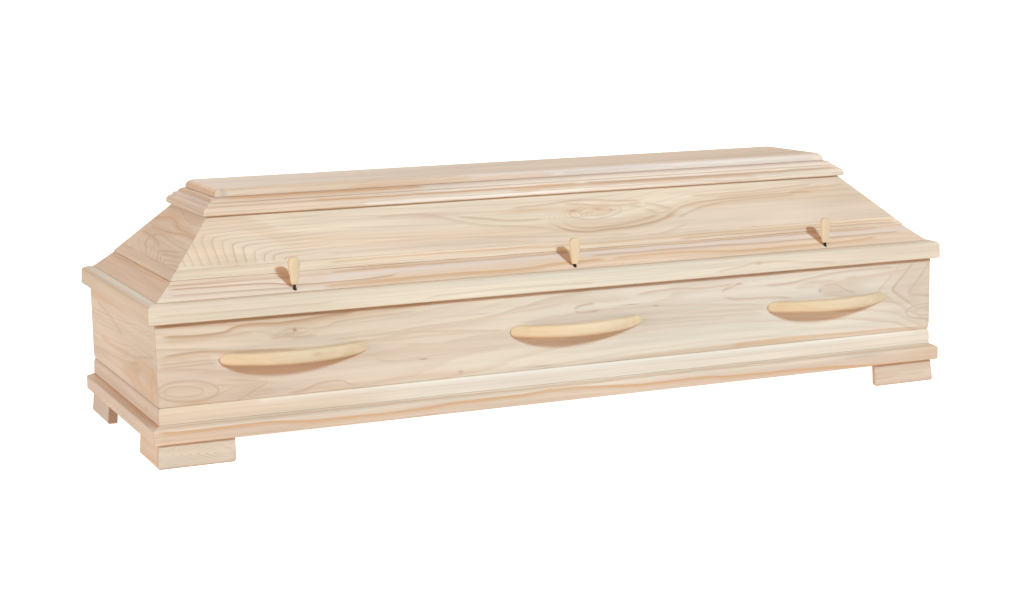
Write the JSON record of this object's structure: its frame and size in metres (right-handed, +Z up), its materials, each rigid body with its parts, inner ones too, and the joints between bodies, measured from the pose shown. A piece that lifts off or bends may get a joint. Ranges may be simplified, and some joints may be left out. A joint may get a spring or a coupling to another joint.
{
  "type": "wooden coffin",
  "caption": "Closed pine coffin on bracket feet, with a hipped lid that lifts off, bowed side handles and wooden wing screws.",
  "frame": {"origin": "on the ground under the middle of the coffin", "axes": "+X along the coffin, +Z up, and the side seen in the picture faces -Y"},
  "size_m": [2.06, 0.781, 0.587],
  "materials": {
    "pine": "matt, sanded and untreated",
    "plain_wood": "matt, sanded and untreated",
    "screw_steel": "dark, blackened"
  },
  "bodies": {
    "root": {"base_moulding_front": "pine", "base_moulding_right": "pine", "base_moulding_back": "pine", "base_moulding_left": "pine", "skirting_front": "pine", "skirting_right": "pine", "skirting_back": "pine", "skirting_left": "pine", "bottom_panel": "pine", "side_board_front": "pine", "side_board_back": "pine", "end_board_left": "pine", "end_board_right": "pine", "foot_face_front_left": "pine", "foot_face_front_right": "pine", "foot_face_back_left": "pine", "foot_face_back_right": "pine", "foot_return_front_left": "pine", "foot_return_front_right": "pine", "foot_return_back_left": "pine", "foot_return_back_right": "pine", "lid_rim_front": "pine", "lid_rim_right": "pine", "lid_rim_back": "pine", "lid_rim_left": "pine", "lid_band_front": "pine", "lid_band_right": "pine", "lid_band_back": "pine", "lid_band_left": "pine", "lid_slope_front": "pine", "lid_slope_right": "pine", "lid_slope_back": "pine", "lid_slope_left": "pine", "lid_crown_front": "pine", "lid_crown_right": "pine", "lid_crown_back": "pine", "lid_crown_left": "pine", "lid_top_board": "pine", "handle_front_left": "plain_wood", "handle_front_middle": "plain_wood", "handle_front_right": "plain_wood", "handle_back_left": "plain_wood", "handle_back_middle": "plain_wood", "handle_back_right": "plain_wood", "wing_front_left": "plain_wood", "wing_front_middle": "plain_wood", "wing_front_right": "plain_wood", "wing_back_left": "plain_wood", "wing_back_middle": "plain_wood", "wing_back_right": "plain_wood", "screw_front_left": "screw_steel", "screw_front_middle": "screw_steel", "screw_front_right": "screw_steel", "screw_back_left": "screw_steel", "screw_back_middle": "screw_steel", "screw_back_right": "screw_steel"}
  },
  "joints": []
}
